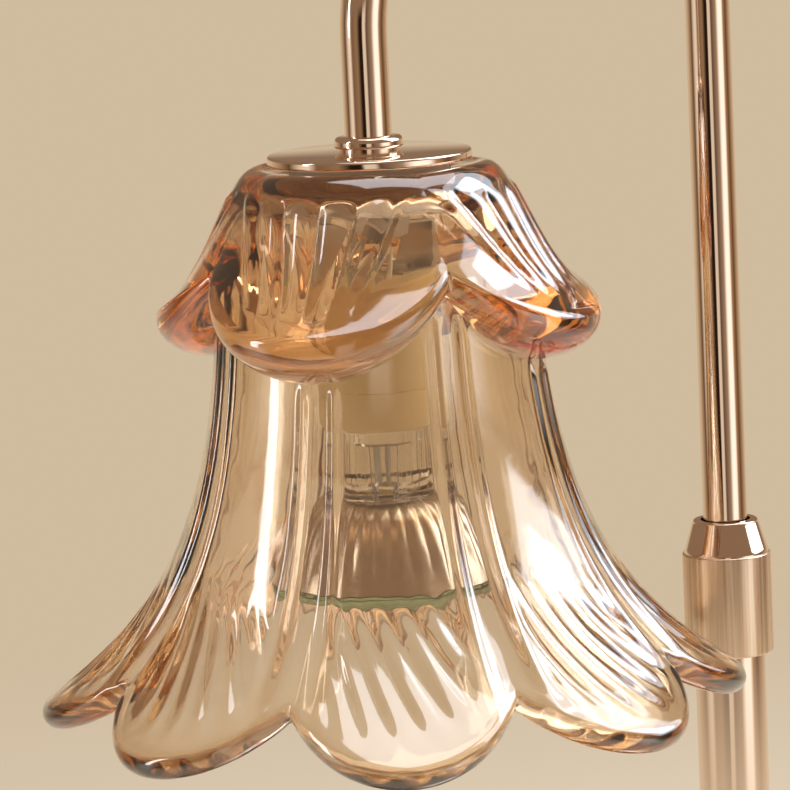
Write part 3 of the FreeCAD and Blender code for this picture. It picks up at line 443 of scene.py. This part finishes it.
def makeBase():
    look = metres({"round": 5, "wall": 1.2, "hole": 5.1, "inlet": 4})
    low, high, radius = turnedNode("base_cover")
    wall = look["wall"]
    size = look["round"]
    inside = radius - wall
    spots = roundedCorner(radius, high, size, count=10) + [(0, high), (0, high - wall)]
    spots += roundedCorner(inside, high - wall, size - wall, count=8)[::-1]
    spots += [(inside, low), (radius, low)]
    bm = spunPiece(spots, Vector((0, 0, 0)), 192)
    piece = addPiece(bm, "baseCover", "base", rose, ["base_cover"])

    # the post's stud and the cord's bush pass through the cover
    inletLow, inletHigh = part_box("cord_inlet")
    stand = Matrix.Translation((postAxis.x, postAxis.y, high))
    side = Matrix.Translation((radius, 0, (inletLow.z + inletHigh.z) / 2))
    side = side @ Matrix.Rotation(math.pi / 2, 4, "Y")
    holes = bmesh.new()
    for hole, depth, place in ((look["hole"], 4 * size, stand), (look["inlet"], 2 * size, side)):
        bmesh.ops.create_cone(holes, cap_ends=True, segments=48, radius1=hole, radius2=hole,
                              depth=depth, matrix=place)
    cutter = bpy.data.meshes.new("coverHoles")
    holes.to_mesh(cutter)
    holes.free()
    tool = bpy.data.objects.new("coverHoles", cutter)
    bpy.context.scene.collection.objects.link(tool)
    cut = piece.modifiers.new("holes", "BOOLEAN")
    cut.object = tool
    cut.operation = "DIFFERENCE"
    bpy.context.view_layer.update()
    done = bpy.data.meshes.new_from_object(piece.evaluated_get(bpy.context.evaluated_depsgraph_get()))
    piece.modifiers.clear()
    piece.data = done
    bpy.data.objects.remove(tool)


print("metal pieces")
makeArm()
makeTop()
makePost()
makeLock()
makeBase()


# ---- glass shade ----

# sizes in millimetres, heights from the top face of the cap disc, widths round the shade in degrees,
# and places along the glass as shares of its way down
shadeLook = {
    "top": -3, "under": -8, "neck": 22, "height": 116.7, "radius": 75.5,
    "wall": 3.4, "lip": 6, "notch": 11, "cup": 0.8,
    "bellTop": -43.6, "bellRadius": 35.2, "flare": 2.6,
    "ribAt": 17, "ribWidth": 1.5, "ribHeight": 0.9, "ribStart": (0.0, 0.06), "ribEnd": (0.86, 1.0),
    "channel": 0.35,
    "leafSpread": 2.1, "front": 56, "seat": 19, "bore": 12,
    "leafFlutes": 16.5, "fluteHeight": 1.3, "fluteDraw": 0.57, "fluteStart": 0.37, "fluteEnd": 0.87,
    "fluteLeft": (-2.9, -2.6), "fluteRight": (2.15, 2.5),
    "veins": 5.5, "veinDepth": 1.0, "veinLean": 38, "veinStart": (0.62, 0.78), "veinEnd": (0.9, 0.97),
    "veinSides": (12.5, 16),
}


def cubic(points, share):
    rest = 1 - share
    parts = (rest ** 3, 3 * share * rest ** 2, 3 * share ** 2 * rest, share ** 3)
    return (sum(part * spot[0] for part, spot in zip(parts, points)),
            sum(part * spot[1] for part, spot in zip(parts, points)))


def between(low, high, share):
    return [(a[0] + (b[0] - a[0]) * share, a[1] + (b[1] - a[1]) * share) for a, b in zip(low, high)]


# the upper tier at the middle of a leaf and in the valley between two
tierLook = {
    "leaf": {"tip": 48, "depth": 30.6, "crown": 0.66, "rise": 4.5, "shoulder": 0.64, "sag": 0.62,
             "roll": 1.8, "rollDepth": 5.5, "tuck": 4, "under": 40.6},
    "valley": {"tip": 36.5, "depth": 18.5, "crown": 0.79, "rise": 1, "shoulder": 0.86, "sag": 0.6,
               "roll": 1.5, "rollDepth": 2.5, "tuck": 0.5, "under": 24},
}


class ShadeForm:
    # the shade's cross-section at a heading in degrees
    def __init__(self, look):
        self.look = look
        self.growth = math.exp(look["flare"]) - 1
        low = look["top"] - look["height"]
        lean = math.atan2(look["bellTop"] - low,
                          (look["radius"] - look["bellRadius"]) * look["flare"] * (self.growth + 1) / self.growth)
        self.edgeRadius = look["radius"] - look["lip"] / 2 * (1 - math.sin(lean))
        self.drop = look["bellTop"] - low - look["lip"] / 2 * (1 + math.cos(lean))
        self.leafTop, self.leafLow = self.tier(**tierLook["leaf"])
        self.valleyTop, self.valleyLow = self.tier(**tierLook["valley"])
        self.leafReach = tierLook["leaf"]["under"]
        self.valleyReach = tierLook["valley"]["under"]

    def tier(self, tip, depth, crown, rise, shoulder, sag, roll, rollDepth, tuck, under):
        top = self.look["top"]
        edge = (tip, top - depth)
        over = [(self.look["neck"], top), (crown * tip, top + rise), (shoulder * tip, top - sag * depth), edge]
        below = [edge, (tip + roll, edge[1] - rollDepth), (tip - tuck, top - under)]
        return over, below

    def turn(self, heading):
        # angle from the middle of the nearest lower petal, and of the nearest upper leaf
        petal = (heading - self.look["front"] + 22.5) % 45 - 22.5
        leaf = (heading - self.look["front"] + 22.5 + 45) % 90 - 45
        return petal, leaf

    def leafShare(self, leaf):
        return 1 - abs(leaf / 45) ** self.look["leafSpread"]

    def bellAt(self, part):
        look = self.look
        spread = self.edgeRadius - look["bellRadius"]
        spot = (look["bellRadius"] + spread * (math.exp(look["flare"] * part) - 1) / self.growth,
                look["bellTop"] - self.drop * part)
        slope = spread * look["flare"] * math.exp(look["flare"] * part) / self.growth
        length = math.hypot(slope, self.drop)
        return spot, (slope / length, -self.drop / length)

    def skin(self, part, share, petal, depth):
        (radius, height), (across, down) = self.bellAt(part)
        depth += self.look["cup"] * (petal / 22.5) ** 2 * share ** 2
        return radius + down * depth, height - across * depth

    def rimPart(self, petal):
        return 1 - self.look["notch"] / self.drop * (petal / 22.5) ** 2

    def relief(self, petal, share):
        # ribs, the channel between two petals' ribs, and the veins at the foot of each petal
        look = self.look
        fade = smoothStep(*look["ribStart"], share)
        rib = look["ribHeight"] * bell(abs(petal), look["ribAt"], look["ribWidth"]) * fade
        rib *= 1 - 0.7 * smoothStep(*look["ribEnd"], share)
        channel = look["channel"] * smoothStep(look["ribAt"] + 1, look["ribAt"] + 3, abs(petal)) * fade
        window = smoothStep(*look["veinStart"], share) * (1 - smoothStep(*look["veinEnd"], share))
        window *= 1 - smoothStep(*look["veinSides"], abs(petal))
        phase = (petal - look["veinLean"] * (share - 0.8)) / look["veins"]
        vein = look["veinDepth"] * window * (0.5 - 0.5 * math.cos(math.tau * phase)) ** 2
        return rib - channel - vein

    def bellOut(self, petal, leaf, share):
        look = self.look
        depth = self.valleyReach + (self.leafReach - self.valleyReach) * self.leafShare(leaf)
        start = (look["bellTop"] - look["top"] + depth) / self.drop
        end = self.rimPart(petal)
        return self.skin(start + (end - start) * share, share, petal, -self.relief(petal, share))

    def bellIn(self, petal, share):
        look = self.look
        depth = look["wall"] + (look["lip"] - look["wall"]) * share ** 6
        return self.skin(self.rimPart(petal) * share, share, petal, depth)

    def rimRound(self, petal, leaf, share):
        start = self.bellOut(petal, leaf, 1)
        end = self.bellIn(petal, 1)
        forward = self.bellAt(self.rimPart(petal))[1]
        swing = math.pi * share
        return tuple((a + b) / 2 + (a - b) / 2 * math.cos(swing) + step * self.look["lip"] / 2 * math.sin(swing)
                     for a, b, step in zip(start, end, forward))

    def leafFlute(self, leaf, share):
        # rounded columns that draw together towards the tip of an upper leaf, beside a smooth margin
        # that sweeps from the leaf's upper right down to its left corner
        look = self.look
        down = (share - look["fluteStart"]) / (look["fluteEnd"] - look["fluteStart"])
        phase = leaf / (1 - look["fluteDraw"] * min(max(down, 0), 1)) / look["leafFlutes"]
        column = abs(math.sin(math.pi * phase)) ** 0.6
        window = smoothStep(-0.04, 0.1, down) * (1 - smoothStep(0.85, 1.08, down))
        window *= (1 - smoothStep(*look["fluteRight"], phase)) * smoothStep(*look["fluteLeft"], phase)
        return look["fluteHeight"] * window * (column - 0.6)

    def leafOut(self, leaf, share):
        points = between(self.valleyTop, self.leafTop, self.leafShare(leaf))
        radius, height = cubic(points, share)
        ahead = cubic(points, min(share + 0.01, 1))
        behind = cubic(points, max(share - 0.01, 0))
        across, down = ahead[0] - behind[0], ahead[1] - behind[1]
        length = math.hypot(across, down) or 1
        rise = self.leafFlute(leaf, share)
        return radius - down / length * rise, height + across / length * rise

    def leafUnder(self, petal, leaf, share):
        foot = self.bellOut(petal, leaf, 0)
        return cubic(between(self.valleyLow, self.leafLow, self.leafShare(leaf)) + [foot], share)

    def shoulder(self, petal, share):
        start = self.bellIn(petal, 0)
        across, down = self.bellAt(0)[1]
        under = self.look["under"]
        rise = (under - start[1]) / 2
        return cubic([start, (start[0] - across * rise, start[1] - down * rise), (start[0] - 1, under),
                      (self.look["seat"], under)], share)

    def spot(self, section, share, heading):
        petal, leaf = self.turn(heading)
        look = self.look
        runs = {
            "leafOut": lambda: self.leafOut(leaf, share),
            "leafUnder": lambda: self.leafUnder(petal, leaf, share),
            "bellOut": lambda: self.bellOut(petal, leaf, share),
            "rimRound": lambda: self.rimRound(petal, leaf, share),
            "bellIn": lambda: self.bellIn(petal, 1 - share),
            "shoulder": lambda: self.shoulder(petal, share),
            "seat": lambda: (look["seat"] + (look["bore"] - look["seat"]) * share, look["under"]),
            "bore": lambda: (look["bore"], look["under"] + (look["top"] - look["under"]) * share),
            "ring": lambda: (look["bore"] + (look["neck"] - look["bore"]) * share, look["top"]),
        }
        return runs[section]()


def makeShade():
    headings = 448
    # the outline's parts in order, and how many steps each has
    sections = (("leafOut", 34), ("leafUnder", 12), ("bellOut", 48), ("rimRound", 10), ("bellIn", 24),
                ("shoulder", 10), ("seat", 2), ("bore", 2), ("ring", 3))
    form = ShadeForm(shadeLook)
    # the outline starts as a ring whose places are told apart by their height
    tracks = [(section, step / count) for section, count in sections for step in range(count)]
    bm = bmesh.new()
    verts, edges = outlineOf(bm, [(1, number) for number in range(len(tracks))])
    bmesh.ops.spin(bm, geom=verts + edges, cent=(0, 0, 0), axis=(0, 0, 1), angle=math.tau,
                   steps=headings, use_merge=True)
    for vert in bm.verts:
        section, share = tracks[round(vert.co.z)]
        turn = math.atan2(vert.co.y, vert.co.x)
        radius, height = form.spot(section, share, math.degrees(turn))
        vert.co = (shadeAxis.x + radius * mm * math.cos(turn), shadeAxis.y + radius * mm * math.sin(turn),
                   capTop + height * mm)
    addPiece(bm, "glassShade", "arm", amber, ["glass_shade"], crease=70)


print("glass shade")
makeShade()


# ---- bulb and lampholder ----

def polar(vert):
    # a vertex's distance from the shade's axis, and its heading
    across = vert.co - shadeAxis
    return math.hypot(across.x, across.y), math.atan2(across.y, across.x)


def drawIn(vert, pull):
    # moves a vertex towards the shade's axis
    across = vert.co - shadeAxis
    scale = 1 - pull / math.hypot(across.x, across.y)
    vert.co.x = shadeAxis.x + across.x * scale
    vert.co.y = shadeAxis.y + across.y * scale


def makeReflector():
    flutes = 32
    steps = 14
    look = metres({"neck": 10.3, "depth": 18, "fluteDepth": 0.45, "wall": 1.2, "hole": 6})
    low, high, radius = turnedNode("bulb_glass")
    neck = look["neck"]
    wall = look["wall"]
    bowlTop = low + look["depth"]
    drop = bowlTop - low
    outer = [(neck + (radius - neck) * step / steps, bowlTop - drop * (step / steps) ** 2)
             for step in range(steps + 1)]
    inner = [(max(across - wall, look["hole"]), height - wall * 0.5) for across, height in outer[:-1]]
    inner += [(radius - wall, low)]
    bm = spunPiece(outer + inner[::-1], shadeAxis, flutes * 8)
    for vert in bm.verts:
        reach, heading = polar(vert)
        share = min(max((reach - neck) / (radius - neck), 0), 1)
        wave = abs(math.sin(heading * flutes / 2))
        fade = smoothStep(0.05, 0.3, share) * (1 - smoothStep(0.8, 0.98, share))
        drawIn(vert, look["fluteDepth"] * (1 - wave) * fade)
    addPiece(bm, "bulbReflector", "bulb", mirrorCoat, ["bulb_glass"])
    return bowlTop, high, neck


def makeBlock(bowlTop, high, neck):
    # moulded glass block on the neck, with a dished notch at the front and the back of its top
    facets = 20
    rows = 10
    notchAt = math.radians(234.5)
    look = metres({"radius": 10.2, "gap": 0.2, "neckHeight": 3, "collarTop": 1.3, "waistFoot": 1.7,
                   "waist": 9.2, "round": 0.8, "core": 4, "facetDepth": 0.35, "facetFrom": 7,
                   "notchDepth": 4.5, "notchInner": 4, "notchOuter": 8, "notchFrom": 6})
    radius = look["radius"]
    waist = look["waist"]
    foot = bowlTop + look["gap"]
    neckTop = bowlTop + look["neckHeight"]
    start = neckTop + look["round"]
    spots = [(0, foot), (neck, foot), (neck, foot + look["collarTop"]), (waist, foot + look["waistFoot"]),
             (waist, neckTop), (radius, start)]
    spots += [(radius, start + (high - start) * row / rows) for row in range(1, rows)]
    spots += roundedCorner(radius, high, look["round"], count=4) + [(look["core"], high), (0, high)]
    bm = spunPiece(spots, shadeAxis, facets * 6, closed=False)
    for vert in bm.verts:
        reach, heading = polar(vert)
        dish = smoothStep(0.6, 1, abs(math.cos(heading - notchAt)))
        dish *= smoothStep(look["notchInner"], look["notchOuter"], reach)
        dish *= smoothStep(neckTop + look["notchFrom"], high, vert.co.z)
        vert.co.z -= look["notchDepth"] * dish
        if reach > look["facetFrom"] and vert.co.z > neckTop + 0.5 * mm:
            drawIn(vert, look["facetDepth"] * (1 - abs(math.sin(heading * facets / 2))))
    addPiece(bm, "bulbBlock", "bulb", bulbClear)


def makeLens(radius):
    look = metres({"edge": 0.7, "backEdge": 0.2})
    low, high = turnedNode("bulb_lens")[:2]
    spots = [(0, low)] + roundedCorner(radius, low, look["edge"], upwards=False)[::-1]
    spots += [(radius, high - look["backEdge"]), (radius - look["backEdge"], high), (0, high)]
    addPiece(spunPiece(spots, shadeAxis, 160, closed=False), "bulbLens", "bulb", lensGlass,
             ["bulb_lens"])


def makeHolder():
    look = metres({"bore": 10.7, "footRound": 0.8, "topRound": 0.35})
    low, high, radius = turnedNode("holder_skirt")
    bore = look["bore"]
    spots = [(bore, low)] + roundedCorner(radius, low, look["footRound"], upwards=False)[::-1]
    spots += roundedCorner(radius, high, look["topRound"]) + [(bore, high)]
    addPiece(spunPiece(spots, shadeAxis, 96), "holderSkirt", "arm", ceramic,
             ["holder_skirt"])


print("bulb and holder")
makeBlock(*makeReflector())
makeLens(turnedNode("bulb_glass")[2])
makeHolder()


# ---- floor, light and camera ----

# the view: angles in degrees, distances in metres from the cap disc's top, and the lens in millimetres
viewLook = {"armTurn": 35.5, "distance": 0.890, "height": 0.089, "pitch": 9.004, "yaw": 0.195,
            "roll": 2.7, "lens": 193.67}
armTurn = math.radians(viewLook["armTurn"])
toRight = Vector((math.cos(armTurn), -math.sin(armTurn), 0))
toBack = Vector((math.sin(armTurn), math.cos(armTurn), 0))
capMiddle = Vector((shadeAxis.x, shadeAxis.y, capTop))

backdrop = (0.63, 0.50, 0.345)


# the room as metal and glass show it: where round the lamp, with 0.5 towards the camera, and its colour
roomBands = (
    (0.00, backdrop), (0.10, backdrop), (0.16, (0.42, 0.30, 0.19)), (0.22, (0.12, 0.065, 0.035)),
    (0.27, (0.80, 0.68, 0.55)), (0.30, (0.85, 0.76, 0.66)), (0.33, (0.20, 0.12, 0.07)),
    (0.40, (0.30, 0.19, 0.11)), (0.44, (0.02, 0.01, 0.006)), (0.475, (0.02, 0.01, 0.006)),
    (0.485, (0.80, 0.70, 0.58)), (0.515, (0.75, 0.65, 0.54)), (0.53, (0.12, 0.07, 0.05)),
    (0.60, (0.36, 0.26, 0.18)), (0.64, (1.3, 1.25, 1.2)), (0.69, (1.3, 1.25, 1.2)),
    (0.72, (0.40, 0.24, 0.13)), (0.77, (0.13, 0.07, 0.035)), (0.83, (0.42, 0.29, 0.18)),
    (0.90, backdrop), (1.00, backdrop),
)


def roomSeen(finish, towards):
    # colour of the room in a direction from the lamp
    turn = finish.along(towards, toRight).angleTo(finish.along(towards, -toBack))
    return finish.node("ValToRGB", {"stops": roomBands}, {"Fac": turn * (1 / math.tau) + 0.5},
                       output="Color")


def rayShare(finish, shares):
    # adds up kinds of ray, each with its share
    return sum(finish.node("LightPath", output=name) * share for name, share in shares.items()).clip()


def surroundings(finish, towards):
    # the plain backdrop for the camera, the room in reflections, and some of both through the glass
    plain = rayShare(finish, {"Is Camera Ray": 1.0, "Is Transmission Ray": 0.55})
    return finish.mixed(plain, roomSeen(finish, towards), backdrop)


def seenRays(finish):
    return rayShare(finish, {"Is Camera Ray": 1.0, "Is Glossy Ray": 1.0, "Is Transmission Ray": 1.0})


def makeFloor():
    look = {"radius": 9, "near": 0.28, "far": 0.75, "colour": (0.72, 0.6, 0.45)}
    bm = bmesh.new()
    bmesh.ops.create_circle(bm, cap_ends=True, segments=96, radius=look["radius"])
    mesh = bpy.data.meshes.new("floor")
    bm.to_mesh(mesh)
    bm.free()
    floor = bpy.data.objects.new("floor", mesh)
    bpy.context.scene.collection.objects.link(floor)
    finish = Finish("paleFloor", look["colour"], Roughness=0.9, Specular_IOR_Level=0.1)
    reach = finish.node("VectorMath", {"operation": "LENGTH"}, {0: finish.place()}, output="Value")
    far = ((reach - look["near"]) * (1 / (look["far"] - look["near"]))).clip()
    glow = finish.node("Emission", inputs={"Color": surroundings(finish, finish.place()), "Strength": 1.0})
    finish.giveWay(far * seenRays(finish), glow)
    mesh.materials.append(finish.material)


def makeCamera():
    pitch, yaw, roll = (math.radians(viewLook[key]) for key in ("pitch", "yaw", "roll"))
    ahead = (toRight * math.sin(yaw) + toBack * math.cos(yaw)) * math.cos(pitch)
    ahead.z -= math.sin(pitch)
    levelRight = ahead.cross(Vector((0, 0, 1))).normalized()
    levelUp = levelRight.cross(ahead)
    right = levelRight * math.cos(roll) - levelUp * math.sin(roll)
    up = levelUp * math.cos(roll) + levelRight * math.sin(roll)
    camera = bpy.data.cameras.new("camera")
    camera.lens = viewLook["lens"]
    camera.clip_start = 0.01
    holder = bpy.data.objects.new("camera", camera)
    turn = Matrix((right, up, -ahead)).transposed().to_4x4()
    stand = capMiddle - toBack * viewLook["distance"] + Vector((0, 0, viewLook["height"]))
    holder.matrix_world = Matrix.Translation(stand) @ turn
    bpy.context.scene.collection.objects.link(holder)
    bpy.context.scene.camera = holder


# metres right, back and up from the middle of the shade, the lamp's width and height, and watts
lampLook = {
    "window": {"spot": (1.1, 0.25, 0.75), "size": (1.1, 1.2), "energy": 9, "colour": (0.80, 0.89, 1.0)},
    "windowMiddle": {"spot": (1.05, 0.2, 0.7), "size": (0.55, 0.7), "energy": 5,
                     "colour": (0.80, 0.89, 1.0)},
    "fill": {"spot": (-1.2, -0.3, 0.45), "size": (0.16, 0.9), "energy": 2, "colour": (0.95, 0.96, 1.0)},
    "top": {"spot": (0.25, 0.15, 1.3), "size": (0.9, 1.1), "energy": 6.5, "colour": (0.92, 0.95, 1.0)},
}


def makeLight(name, spot, size, energy, colour):
    lamp = bpy.data.lights.new(name, "AREA")
    lamp.shape = "RECTANGLE"
    lamp.size, lamp.size_y = size
    lamp.energy = energy
    lamp.color = colour
    holder = bpy.data.objects.new(name, lamp)
    right, back, up = spot
    aim = capMiddle - Vector((0, 0, 0.06))
    holder.location = aim + toRight * right + toBack * back + Vector((0, 0, up))
    holder.rotation_euler = (aim - holder.location).to_track_quat("-Z", "Y").to_euler()
    bpy.context.scene.collection.objects.link(holder)


def makeWorld():
    look = {"plain": (1.0, 0.97, 0.93), "strength": 0.55, "ceiling": (0.26, 0.17, 0.11)}
    world = bpy.data.worlds.new("studio")
    bpy.context.scene.world = world
    world.use_nodes = True
    sky = ShaderTree(world.node_tree)
    sky.tree.nodes.clear()
    towards = sky.node("TexCoord", output="Generated")
    # reflections from above the horizon show a darker ceiling
    above = (sky.along(towards, (0, 0, 1)) * 12 - 0.6).clip() * sky.node("LightPath", output="Is Glossy Ray")
    seen = sky.mixed(above, surroundings(sky, towards), look["ceiling"])
    plain = [value * look["strength"] for value in look["plain"]]
    light = sky.node("Background", inputs={"Color": sky.mixed(seenRays(sky), plain, seen), "Strength": 1.0})
    output = sky.tree.nodes.new("ShaderNodeOutputWorld")
    sky.tree.links.new(light.socket, output.inputs["Surface"])


print("stage")
makeFloor()
makeCamera()
makeWorld()
for name, look in lampLook.items():
    makeLight(name, **look)
bpy.context.scene.view_settings.view_transform = "Standard"
